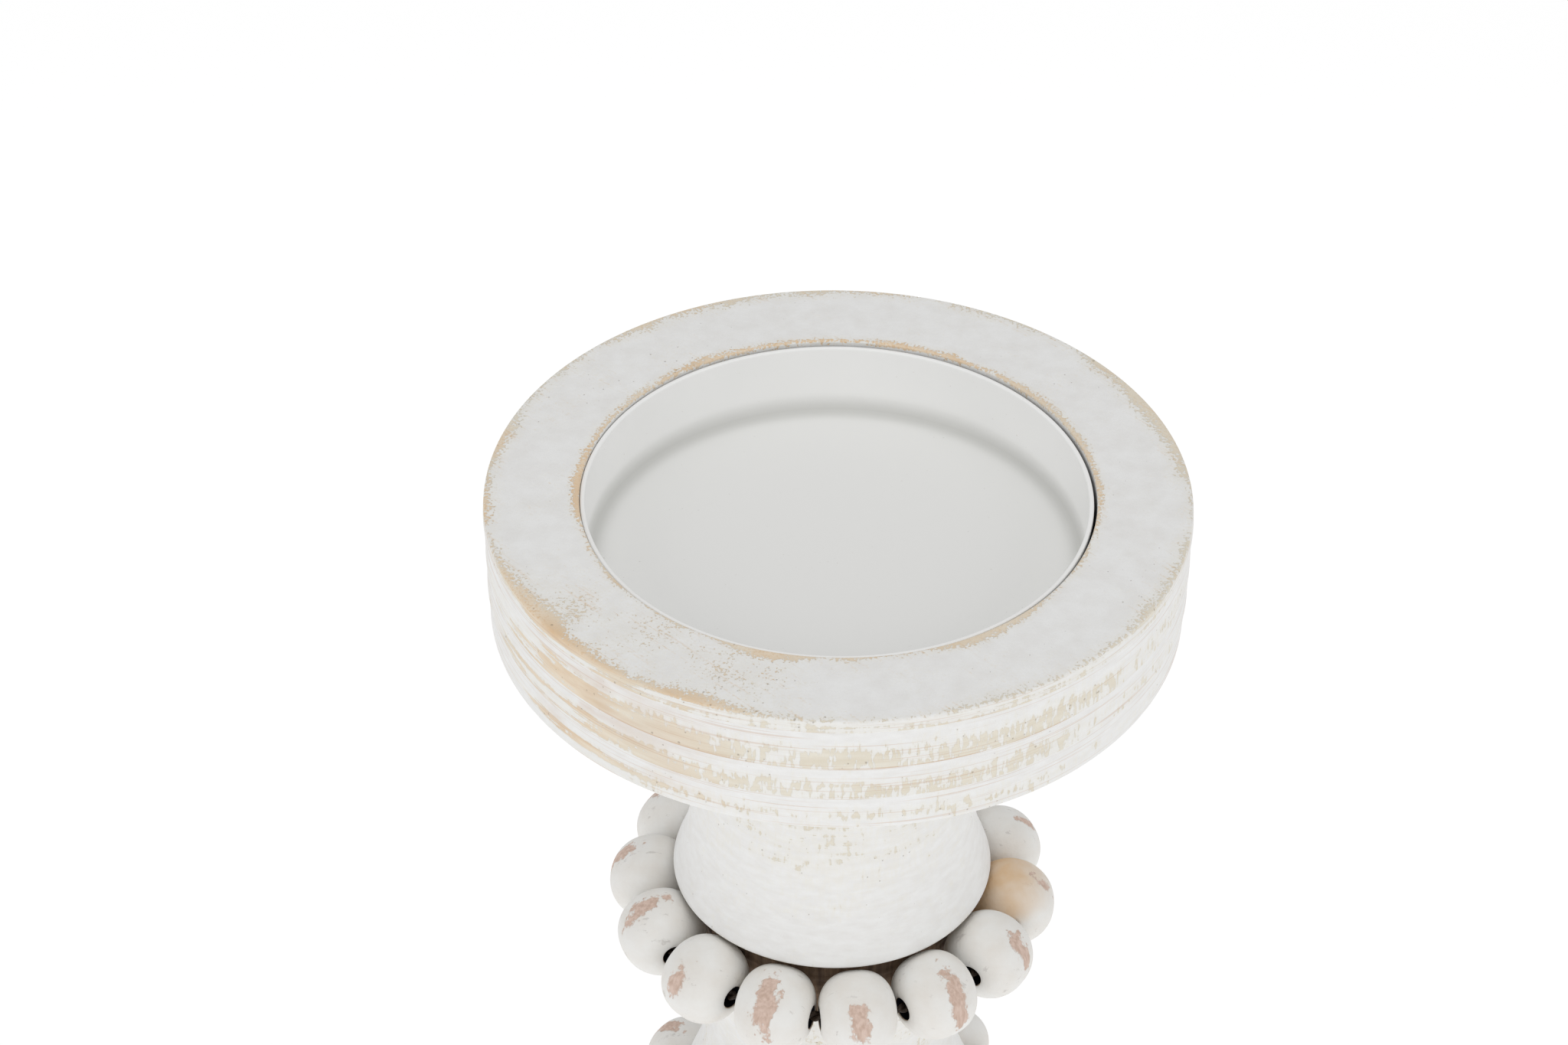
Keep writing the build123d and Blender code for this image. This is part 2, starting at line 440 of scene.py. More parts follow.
def limewashed_wood(look):
    """Limewashed mango wood: brushed matt white, sanded through to pale wood.

    A stiff brush leaves combed white strokes below each turned step, sanding bares the
    wood above the next one and on the rims, and pores show as pits where wash is thin.
    """
    material, tree, shader = new_finish("limewashed_wood", 0.25, IOR=1.45)
    place = add(tree, "TexCoord", "Object")
    rub, band, banded, comb, warm = (
        add(tree, "Attribute", "Fac", attribute_name=key)
        for key in ("rub", "band", "banded", "comb", "warm"))
    field = {}
    for key, size, detail, warp in (
        ("dabs", (1.15, 1.15, 2.4), 1.0, 0.4),
        ("strokes", (0.65, 0.65, 3.8), 2.0, 0.3),
        ("streaks", (24.0, 24.0, 0.8), 3.0, 0.5),
        ("blotches", (9.0, 9.0, 3.5), 3.0, 0.3),
        ("crumbs", (0.8, 0.8, 0.8), 3.0, 0.0),
        ("sand", (0.5, 0.5, 0.5), 2.0, 0.0),
        ("grain", (12.0, 12.0, 1.6), 3.0, 0.3),
        ("brush", (3.5, 3.5, 1.2), 4.0, 0.0),
        ("bristles", (0.5, 0.5, 1.8), 2.0, 0.0),
        ("breaks", (16.0, 16.0, 6.0), 3.0, 0.0),
        ("lines", (30.0, 30.0, 0.32), 1.0, 0.0),
    ):
        cells = add(tree, "Mapping", "Vector", {"Vector": place, "Scale": per_size(*size)})
        values = {"Vector": cells, "Scale": 1.0, "Detail": detail, "Distortion": warp}
        field[key] = add(tree, "TexNoise", "Fac", {**values, "Roughness": 0.55})

    # Place down a band, 0 just under a step and 1 at the next: half bare from a third on
    share = add(tree, "Math", 0, {0: band}, operation="FRACT")
    level = add(tree, "MapRange", 0, {0: share, 1: 0.12, 2: 0.55, 3: -1.5, 4: 0.2})
    level = add(tree, "Math", 0, {0: level, 1: banded}, operation="ADD")
    level = add(tree, "Math", 0, {0: level, 1: rub}, operation="MAXIMUM")
    dabs = add(tree, "Math", 0, {0: field["dabs"], 1: field["strokes"]}, operation="ADD")
    dabs = add(tree, "Math", 0, {0: dabs, 1: 2.6, 2: -0.5}, operation="MULTIPLY_ADD")
    streaks = add(tree, "Math", 0, {0: field["streaks"], 1: 4.2}, operation="MULTIPLY")
    ragged = add(tree, "Mix", 0, {0: comb, 2: streaks, 3: dabs})
    level = add(tree, "Math", 0, {0: ragged, 1: level}, operation="ADD")
    for key, amount in (("blotches", 1.6), ("breaks", 1.8), ("crumbs", 0.9)):
        inputs = {0: field[key], 1: amount, 2: level}
        level = add(tree, "Math", 0, inputs, operation="MULTIPLY_ADD")
    level = add(tree, "Math", 0, {0: level, 1: 4.25}, operation="SUBTRACT")
    # On the discs' flat faces sand has broken the wash into crumbs 0.5 mm across
    flat = add(tree, "MapRange", 0, {0: banded, 1: -2.0, 2: -6.0})
    sanded = add(tree, "Math", 0, {0: flat, 1: share}, operation="MULTIPLY")
    gritty = add(tree, "Math", 0, {0: field["sand"], 1: 6.2, 2: -3.1}, operation="MULTIPLY_ADD")
    level = add(tree, "Math", 0, {0: gritty, 1: sanded, 2: level}, operation="MULTIPLY_ADD")
    bare = add(tree, "MapRange", 0, {0: level, 1: -0.08, 2: 0.2}, interpolation_type="SMOOTHSTEP")
    thin = add(tree, "MapRange", 0, {0: level, 1: -1.3, 2: 0.2}, interpolation_type="SMOOTHSTEP")

    grain = add(tree, "MapRange", 0, {0: field["grain"], 1: 0.35, 2: 0.7})
    sand = add(tree, "MapRange", 0, {0: field["sand"], 1: 0.45, 2: 0.65})
    sand = add(tree, "Math", 0, {0: sand, 1: flat}, operation="MULTIPLY")
    grain = add(tree, "Math", 0, {0: grain, 1: sand}, operation="MAXIMUM")
    pale, gold = (
        add(tree, "Mix", 2, {0: grain, 6: plain, 7: dark}, data_type="RGBA")
        for plain, dark in ((look.pale_wood, look.pale_grain), (look.warm_wood, look.warm_grain)))
    wood = add(tree, "Mix", 2, {0: warm, 6: pale, 7: gold}, data_type="RGBA")
    hollow = add(tree, "MapRange", 0, {0: field["brush"], 1: 0.35, 2: 0.7})
    veil = add(tree, "Math", 0, {0: thin, 1: 0.55}, operation="MULTIPLY")

    # Pores 0.2 to 0.5 mm across, most of them where the wash is thin
    spots = {"Vector": place, "Scale": 1 / (1.7 * MM), "Randomness": 1.0}
    pore = add(tree, "TexVoronoi", "Distance", spots)
    limit = add(tree, "Math", 0, {0: field["breaks"], 1: 0.34, 2: -0.12}, operation="MULTIPLY_ADD")
    limit = add(tree, "Math", 0, {0: thin, 1: 0.05, 2: limit}, operation="MULTIPLY_ADD")
    pit = add(tree, "Math", 0, {0: limit, 1: pore}, operation="SUBTRACT")
    pit = add(tree, "MapRange", 0, {0: pit, 1: 0.0, 2: 0.04})
    dark = add(tree, "Math", 0, {0: pit, 1: 0.45}, operation="MULTIPLY")
    # Hairline in the corner of each step, broken along its length
    corner = add(tree, "MapRange", 0, {0: share, 1: 0.94, 2: 0.975})
    corner = add(tree, "Math", 0, {0: corner, 1: banded}, operation="ADD", use_clamp=True)
    gaps = add(tree, "MapRange", 0, {0: field["breaks"], 1: 0.46, 2: 0.6, 4: 0.75})
    corner = add(tree, "Math", 0, {0: corner, 1: gaps}, operation="MULTIPLY")
    # Thin turned lines round the side, 0.3 mm apart at their closest
    side = add(tree, "Math", 0, {0: 1.0, 1: flat}, operation="SUBTRACT")
    line = add(tree, "MapRange", 0, {0: field["lines"], 1: 0.6, 2: 0.68, 4: 0.32})
    line = add(tree, "Math", 0, {0: line, 1: side}, operation="MULTIPLY")
    # Sanding scratches across the flat faces, 0.5 mm wide and some 14 mm long
    size = (0.5 * MM, 14.0 * MM, 14.0 * MM)
    cells = {"Vector": place, "Scale": size, "Rotation": (0.0, 0.0, 0.8)}
    cells = add(tree, "Mapping", "Vector", cells, vector_type="TEXTURE")
    cells = add(tree, "TexNoise", "Fac", {"Vector": cells, "Scale": 1.0, "Detail": 2.0})
    scratch = add(tree, "MapRange", 0, {0: cells, 1: 0.56, 2: 0.72})
    scratch = add(tree, "Math", 0, {0: scratch, 1: sanded}, operation="MULTIPLY")
    scratch = add(tree, "Math", 0, {0: scratch, 1: thin}, operation="MULTIPLY")

    relief = field["bristles"]
    for source, amount in ((bare, -1.0), (field["brush"], 0.8), (pit, -0.8)):
        inputs = {0: source, 1: amount, 2: relief}
        relief = add(tree, "Math", 0, inputs, operation="MULTIPLY_ADD")
    rough = add(tree, "MapRange", 0, {0: bare, 3: 0.82, 4: 0.62})
    layers = (
        (hollow, look.wash_hollow), (veil, look.thin_wash), (bare, wood), (dark, look.pore),
        (corner, look.hairline), (line, look.hairline), (scratch, look.warm_grain))
    connect(tree, shader, look.wash, layers, relief, 0.12, 0.6, rough)
    return material


def chalk_painted_bead(look):
    """Matt chalk-painted beads, scraped in a ragged strip to pinkish bare wood."""
    material, tree, shader = new_finish("chalk_painted_bead", 0.3, IOR=1.45)
    place = add(tree, "TexCoord", "Object")
    patch, bore, stain = (
        add(tree, "Attribute", "Fac", attribute_name=key) for key in ("patch", "bore", "stain"))
    field = {}
    for key, size, detail, roughness in (
        ("ragged", (2.0, 2.0, 3.4), 3.0, 0.62),
        ("flecks", (0.7, 0.7, 0.7), 2.0, 0.6),
        ("grain", (0.6, 0.6, 3.0), 3.0, 0.5),
        ("cloud", (5.0, 5.0, 5.0), 3.0, 0.5),
        ("scuffs", (3.2, 1.6, 3.2), 4.0, 0.7),
    ):
        cells = add(tree, "Mapping", "Vector", {"Vector": place, "Scale": per_size(*size)})
        values = {"Vector": cells, "Scale": 1.0, "Detail": detail, "Roughness": roughness}
        field[key] = add(tree, "TexNoise", "Fac", values)
    level = add(tree, "Math", 0, {0: -0.85, 1: patch}, operation="SUBTRACT")
    level = add(tree, "Math", 0, {0: field["ragged"], 1: 3.2, 2: level}, operation="MULTIPLY_ADD")
    level = add(tree, "Math", 0, {0: field["flecks"], 1: 0.8, 2: level}, operation="MULTIPLY_ADD")
    bare = add(tree, "MapRange", 0, {0: level, 1: -0.05, 2: 0.3}, interpolation_type="SMOOTHSTEP")
    grain = add(tree, "MapRange", 0, {0: field["grain"], 1: 0.35, 2: 0.65})
    wood = add(tree, "Mix", 2, {0: grain, 6: look.bead_wood, 7: look.bead_grain}, data_type="RGBA")
    cloud = add(tree, "MapRange", 0, {0: field["cloud"], 1: 0.35, 2: 0.75})
    scuff = add(tree, "MapRange", 0, {0: field["scuffs"], 1: 0.63, 2: 0.7, 4: 0.5})
    soak = add(tree, "MapRange", 0, {0: cloud, 3: 0.6, 4: 1.0})
    soak = add(tree, "Math", 0, {0: stain, 1: soak}, operation="MULTIPLY")
    worn = add(tree, "MapRange", 0, {0: bore, 1: 0.1, 2: 0.4, 4: 0.8})
    # Painted shade: near black deep in the holes
    inside = add(tree, "MapRange", 0, {0: bore, 1: 0.5, 2: 0.75})
    relief = add(tree, "Math", 0, {0: bare, 1: -1.6, 2: field["flecks"]}, operation="MULTIPLY_ADD")
    rough = add(tree, "MapRange", 0, {0: bare, 3: 0.74, 4: 0.6})
    layers = (
        (cloud, look.bead_paint_warm), (scuff, look.bead_scuff), (soak, look.bead_stain),
        (bare, wood), (worn, look.warm_grain), (inside, look.bore_shade))
    connect(tree, shader, look.bead_paint, layers, relief, 0.12, 0.6, rough)
    return material


def bare_wood_with_painted_shade(look):
    """Unpainted turned hardwood with the shade under the bells painted into its brown: brown with
    short dark grain and fine tool rings.
    """
    material, tree, shader = new_finish("bare_wood_with_painted_shade", 0.3, IOR=1.45, Roughness=0.7)
    place = add(tree, "TexCoord", "Object")
    field = {}
    for key, size, detail in (
        ("grain", (1.2, 1.2, 14.0), 4.0),
        ("fibres", (0.3, 0.3, 3.0), 2.0),
        ("rings", (30.0, 30.0, 0.35), 2.0),
    ):
        cells = add(tree, "Mapping", "Vector", {"Vector": place, "Scale": per_size(*size)})
        values = {"Vector": cells, "Scale": 1.0, "Detail": detail}
        field[key] = add(tree, "TexNoise", "Fac", values)
    grain = add(tree, "MapRange", 0, {0: field["grain"], 1: 0.35, 2: 0.65})
    fine = add(tree, "MapRange", 0, {0: field["fibres"], 1: 0.5, 2: 0.7, 4: 0.35})
    relief = add(tree, "Math", 0, {0: field["rings"], 1: field["fibres"]}, operation="ADD")
    layers = ((grain, look.neck_grain), (fine, look.neck_grain))
    connect(tree, shader, look.neck_wood, layers, relief, 0.12, 0.7)
    return material


def white_powder_coat(look):
    """White powder-coated sheet steel: satin, with faint orange peel and a few specks."""
    material, tree, shader = new_finish("white_powder_coat", 0.35, IOR=1.5, Roughness=0.45)
    place = add(tree, "TexCoord", "Object")
    outside, corner, dust = (
        add(tree, "Attribute", "Fac", attribute_name=key)
        for key in ("outside", "corner", "dust"))
    field = {}
    for key, size, detail in (
        ("cloud", 22.0, 2.0),
        ("specks", 0.45, 1.0),
        ("thick", 9.0, 1.0),
        ("peel", 1.3, 1.0),
    ):
        values = {"Vector": place, "Scale": 1 / (size * MM), "Detail": detail}
        field[key] = add(tree, "TexNoise", "Fac", values)
    cloud = add(tree, "MapRange", 0, {0: field["cloud"], 1: 0.3, 2: 0.7})
    haze = add(tree, "Math", 0, {0: cloud, 1: 0.3}, operation="MULTIPLY")
    speck = add(tree, "MapRange", 0, {0: field["specks"], 1: 0.76, 2: 0.8, 4: 0.3})
    where = add(tree, "MapRange", 0, {0: field["thick"], 1: 0.5, 2: 0.6})
    speck = add(tree, "Math", 0, {0: speck, 1: where}, operation="MULTIPLY")
    # corner lays painted shade into the liner's inside corner
    layers = (
        (dust, look.coat_dust), (haze, look.coat_dust), (speck, look.pore),
        (corner, look.coat_corner), (outside, look.primer))
    # outside lays painted shade on the liner's outer wall, for the gap round it
    connect(tree, shader, look.coat, layers, field["peel"], 0.012, 0.6)
    return material


def zinc_plated_steel(look):
    """Zinc-plated steel: soft grey metal with fine blotchy brightness."""
    material, tree, shader = new_finish("zinc_plated_steel", 0.5, Metallic=1.0)
    place = add(tree, "TexCoord", "Object")
    values = {"Vector": place, "Scale": 1 / (2.5 * MM), "Detail": 4.0}
    cloud = add(tree, "TexNoise", "Fac", values)
    patchy = add(tree, "MapRange", 0, {0: cloud, 1: 0.3, 2: 0.7})
    rough = add(tree, "MapRange", 0, {0: cloud, 1: 0.3, 2: 0.7, 3: 0.28, 4: 0.5})
    connect(tree, shader, look.zinc, [(patchy, look.zinc_shade)], rough=rough)
    return material


def waxed_cotton_cord(look):
    """Waxed cotton cord: dark brown twisted strands with a little fuzz."""
    material, tree, shader = new_finish("waxed_cotton_cord", 0.4, IOR=1.5, Roughness=0.6)
    place = add(tree, "TexCoord", "Object")
    values = {"Vector": place, "Scale": 1 / (0.25 * MM), "Detail": 3.0}
    fibre = add(tree, "TexNoise", "Fac", values)
    strands = add(tree, "MapRange", 0, {0: fibre, 1: 0.35, 2: 0.65})
    # The low spots of the fibre relief are painted dark: painted shade between the fibres
    connect(tree, shader, look.cord_shade, [(strands, look.cord)], fibre, 0.08, 0.8)
    return material


def pressed_wool_felt(look):
    """Pressed wool felt: off-white matted fibres lying in every direction."""
    material, tree, shader = new_finish("pressed_wool_felt", 0.2, IOR=1.45, Roughness=0.95)
    place = add(tree, "TexCoord", "Object")
    layers = []
    for size in ((0.35, 1.4, 0.4), (1.4, 0.35, 0.4)):
        cells = add(tree, "Mapping", "Vector", {"Vector": place, "Scale": per_size(*size)})
        values = {"Vector": cells, "Scale": 1.0, "Detail": 4.0, "Distortion": 1.5}
        layers.append(add(tree, "TexNoise", "Fac", values))
    matted = add(tree, "Math", 0, {0: layers[0], 1: layers[1]}, operation="ADD")
    hollow = add(tree, "MapRange", 0, {0: matted, 1: 0.8, 2: 1.2})
    connect(tree, shader, look.felt, [(hollow, look.felt_shade)], matted, 0.3, 0.8)
    return material


# ---------------------------------------------------------------- pieces


def banded_side(outer, rim, direction, relief):
    """Corners of a banded side from its far end to its rim.

    Each band widens by the relief towards the step that ends it and drops straight back,
    so the side is a shallow sawtooth on the taper.
    """
    corners = []
    for step in BAND_STEPS[::-1]:
        radius = outer - SIDE_TAPER * step
        corners.append((radius, rim - direction * (step + 0.05), 0.1, 0.34))
        corners.append((radius + relief, rim - direction * (step - 0.2), 0.12, 0.34))
    return corners


def disc_wear(grid, rim, direction, outer, inner):
    """Wear of a banded disc as attributes.

    rub is the reach of the wear less the distance from an edge, over how softly it ends.
    band counts the steps down the side. banded is about 0 on the side, less where sanding
    was light, and -9 elsewhere. comb is 1 where strokes show and 0 where streaks do. warm
    is the wood's warmth.
    """
    radius = np.hypot(grid[..., 0], grid[..., 1])
    turn = np.arctan2(grid[..., 0], -grid[..., 1])
    depth = (rim - grid[..., 2]) * direction
    flat = depth < 0.3
    side = (depth >= 0.3) & (radius > outer - SIDE_REACH)
    gap = np.hypot(np.maximum(outer - radius, 0) * flat, np.maximum(depth, 0))
    reach = np.where(flat, rubbed(turn, RIM_RUBS, OVER_FLAT), rubbed(turn, RIM_RUBS, DOWN_SIDE))
    rub = np.where(flat | side, (0.1 + reach - gap) / np.where(flat, 2.4, 1.5), -2.0)
    mottled = -1.4 + 0.75 * np.exp(-((degrees_between(turn, -22) / 42) ** 2))
    rub = np.where(flat, np.maximum(rub, mottled), rub)
    if inner > 0:
        gap = np.maximum(radius - inner, 0) + np.maximum(depth, 0) * 2
        around_recess = (0.35 + rubbed(turn, RECESS_RUBS, OVER_FLAT) - gap) / 1.3
        rub = np.where(radius < outer - SIDE_REACH, np.maximum(rub, around_recess), rub)
    band = np.interp(depth, (0.0, *BAND_STEPS, LAST_BAND_END), (0.45, 1.0, 2.0, 3.0, 3.9))
    away = degrees_between(turn, 0)
    left = np.clip((-away - 14) / 34, 0, 1)
    far = np.clip(np.where(away < 0, (-away - 44) / 30, (away - 40) / 40), 0, 1)
    # Thick wash within 0.8 mm of the rim and past 21.8 mm, fading over 2 mm and 1.4 mm
    first = np.clip((2.8 - depth) / 2.0, 0, 1)
    last = np.clip((depth - 20.4) / 1.4, 0, 1)
    banded = 0.5 * left - 1.2 * far - first * (0.35 + 0.9 * left) - 1.1 * last
    banded = np.where(side, banded, -9.0)
    comb = np.where(side, np.clip(1 - left - 0.7 * first, 0, 1), 0.4)
    on_side = 0.25 + 0.55 * left * (1 - 0.7 * far)
    on_flat = 0.3 + 0.7 * np.exp(-((np.maximum(outer - radius, 0) / 2.6) ** 2))
    warm = np.maximum(rubbed(turn, RIM_RUBS, WARMTH) * np.where(side, on_side, on_flat), 0.12)
    if inner > 0:
        near_recess = radius < (inner + outer) / 2
        near = np.maximum(rubbed(turn, RECESS_RUBS, WARMTH), 0.5)
        warm = np.where(near_recess, near, warm)
    return {"rub": np.clip(rub, -2, 2), "band": band, "banded": banded, "comb": comb,
            "warm": warm}


class CANDLESTICK_OT_cup(bpy.types.Operator):
    """Turned cup: banded side, flat rim, a recess for the liner and a pocket for the nut"""

    bl_idname = "candlestick.cup"
    bl_label = "Cup"

    def execute(self, context):
        size = context.scene.candlestick_size
        floor, rim, radius = extent("candle_cup")
        outer = radius - BAND_CROWN
        recess, recess_floor = radius_of("metal_liner") + LINER_ROOM, foot_of("metal_liner")
        bore = rod_hole()
        pocket, seat = radius_of("rod_washers") + POCKET_ROOM, top_of("rod_washers") - WASHER
        foot = outer - SIDE_TAPER * (rim - floor)
        corners = [(bore, floor, 0, 5.0), (foot, floor, 0.8, 0.4),
                   *banded_side(outer, rim, 1, size.band_relief / MM),
                   (outer, rim, 0.5, 0.6), (recess, rim, 0.35, 1.6),
                   (recess, recess_floor, 0.4, 4.0), (pocket, recess_floor, 0.3, 2.0),
                   (pocket, seat, 0.2, 2.0), (bore, seat, 0, 2.0)]
        grid = turned(rounded(corners), size.disc_segments, size.disc_wobble / MM, seed=3)
        wear = disc_wear(grid, rim, 1, outer, recess)
        piece = surface("turned_cup", [grid], wear)
        dress(piece, limewashed_wood, COLUMN_BODY, "washed_wood", "candle_cup")
        return {"FINISHED"}


class CANDLESTICK_OT_base(bpy.types.Operator):
    """Turned base: the cup's banded side turned over, with a pocket underneath"""

    bl_idname = "candlestick.base"
    bl_label = "Base"

    def execute(self, context):
        size = context.scene.candlestick_size
        rim, floor, radius = extent("base_disc")
        outer = radius - BAND_CROWN
        bore = rod_hole()
        pocket, seat = radius_of("rod_washers") + POCKET_ROOM, foot_of("rod_washers") + WASHER
        corners = [(bore, floor, 0, 3.0), (outer - 4.0, floor, 2.0, 0.6),
                   (outer - 0.9, floor - 2.0, 1.6, 0.36),
                   *banded_side(outer, rim, -1, size.band_relief / MM),
                   (outer, rim, 0.5, 2.0), (pocket, rim, 0.3, 2.0),
                   (pocket, seat, 0.3, 2.0), (bore, seat, 0, 3.0)]
        grid = turned(rounded(corners), size.disc_segments, size.disc_wobble / MM, seed=5)
        wear = disc_wear(grid, rim, -1, outer, 0)
        height = np.abs(grid[..., 2] - floor)
        radius = np.hypot(grid[..., 0], grid[..., 1])
        shoulder = (1.4 - np.abs(outer - 2.5 - radius) - height) / 2.0
        wear["rub"] = np.maximum(wear["rub"], shoulder)
        piece = surface("turned_base", [grid], wear)
        dress(piece, limewashed_wood, COLUMN_BODY, "washed_wood", "base_disc")
        return {"FINISHED"}


class CANDLESTICK_OT_column(bpy.types.Operator):
    """Bell, spool and foot of the column, with crisp skirts and shoulders"""

    bl_idname = "candlestick.column"
    bl_label = "Column sections"

    def execute(self, context):
        size = context.scene.candlestick_size
        bore = rod_hole()
        for index, node in enumerate(COLUMN_NODES):
            outline, low, high = self.outline(node, bore)
            seed = 11 + index
            grid = turned(outline, size.column_segments, size.column_wobble / MM, seed)
            wear = self.wear(grid, low, high, index)
            piece = surface(node.replace("_section", "_turning"), [grid], wear)
            dress(piece, limewashed_wood, COLUMN_BODY, "washed_wood", node)
        return {"FINISHED"}

    def outline(self, node, bore):
        """The node's own side, evened out by a moving mean, with a quarter oval at each end."""
        levels, widest = side_of(node)
        low, high = levels[0], levels[-1]
        inset, rise = 0.5, 0.7
        heights = np.arange(low + rise, high - rise, 0.5)
        side = np.interp(heights, levels, widest)
        even = np.convolve(np.pad(side, 4, mode="edge"), np.ones(9) / 9, mode="valid")
        side = even + np.linspace(side[0] - even[0], side[-1] - even[-1], len(side))
        bend = np.linspace(0, math.pi / 2, 6)
        foot = [side[0] - inset * (1 - np.sin(bend)), low + rise * (1 - np.cos(bend))]
        head = [side[-1] - inset * (1 - np.cos(bend)), high - rise * (1 - np.sin(bend))]
        under = np.linspace(bore, foot[0][0], 14, endpoint=False)
        over = np.linspace(head[0][-1], bore, 14)[1:]
        shaft = np.linspace(high, low, 12)[1:-1]
        outline = np.vstack([
            np.stack([under, np.full_like(under, low)], 1), np.stack(foot, 1),
            np.stack([side, heights], 1)[1:-1], np.stack(head, 1),
            np.stack([over, np.full_like(over, high)], 1),
            np.stack([np.full_like(shaft, bore), shaft], 1)])
        return outline, low, high

    def wear(self, grid, low, high, index):
        """Thin wash high on the front, a rubbed shoulder, and a skirt edge hardly touched."""
        turn = np.arctan2(grid[..., 0], -grid[..., 1])
        radius = np.hypot(grid[..., 0], grid[..., 1])
        up = (grid[..., 2] - low) / (high - low)
        front = np.exp(-((degrees_between(turn, 5) / 60) ** 2))
        rub = -1.35 + 1.15 * (0.4 + 0.6 * front) * np.clip(3.0 * up - 0.3, 0, 1)
        skirt = (0.1 - np.abs(grid[..., 2] - low)) / 0.9 - 0.2
        shoulder = 0.7 - np.abs(high - grid[..., 2])
        edges = skirt if index == 0 else np.maximum(skirt, shoulder)
        rub = np.where(radius > 18, np.maximum(rub, edges), -2)
        even = {"band": 0.0, "banded": -9.0, "comb": 0.6, "warm": 0.1}
        return {"rub": rub, **{key: np.full_like(rub, value) for key, value in even.items()}}


class CANDLESTICK_OT_necks(bpy.types.Operator):
    """Bare necks between the sections, with faint turning rings"""

    bl_idname = "candlestick.necks"
    bl_label = "Necks"

    def execute(self, context):
        size = context.scene.candlestick_size
        bore = rod_hole()
        for string in STRINGS:
            node = f"{string}_neck"
            low, high, radius = extent(node)
            corners = [(bore, low, 0, 3.0), (radius, low, 0.3, 0.3), (radius, high, 0.3, 3.0),
                       (bore, high, 0, 3.0)]
            outline = rounded(corners)
            rings = 0.05 * (1 + np.cos(outline[:, 1] * TWO_PI / 1.8))
            outline[:, 0] -= rings * (outline[:, 0] > radius - 0.01)
            piece = surface(f"{string}_neck_collar", [turned(outline, size.column_segments)])
            dress(piece, bare_wood_with_painted_shade, COLUMN_BODY, "bare_wood", node)
        return {"FINISHED"}


class CANDLESTICK_OT_liner(bpy.types.Operator):
    """Pressed sheet-steel liner, lying a little to one side of its recess"""

    bl_idname = "candlestick.liner"
    bl_label = "Liner"

    def execute(self, context):
        size = context.scene.candlestick_size
        low, high, outer = extent("metal_liner")
        sheet = size.liner_sheet / MM
        inner, floor = outer - sheet, low + sheet
        corners = [(FAN_RADIUS, low, 0, 4.0), (outer, low, 3.0, 1.0), (outer, high, 0.2, 1.0),
                   (inner, high, 0.3, 0.8), (inner, floor, 2.2, 0.5), (inner - 8, floor, 0, 3.0),
                   (FAN_RADIUS, floor, 0, 3.0)]
        grid = turned(rounded(corners, is_open=True), size.disc_segments, wobble=0.02, seed=8)
        radius, height = np.hypot(grid[..., 0], grid[..., 1]), grid[..., 2]
        grid = grid + np.array([-0.2, -0.12, 0.0])
        inside = height > floor - 0.1
        to_corner = np.hypot(radius - (inner - 0.9), height - (floor + 0.7))
        wear = {
            # Painted shade for the gap round the liner: grey over its outside wall
            "outside": (radius > outer - 0.12) & (height < high - 0.25),
            # Painted shade: grey strongest 0.9 mm in from the wall and 0.7 mm over the floor
            "corner": 0.85 * np.exp(-((to_corner / 1.5) ** 2)) * inside,
            "dust": np.clip((floor + 4 - height) / 4, 0, 1) * inside,
        }
        piece = surface("liner_dish", [grid], wear, poles=True)
        dress(piece, white_powder_coat, "liner", "liner_enamel", "metal_liner")
        return {"FINISHED"}


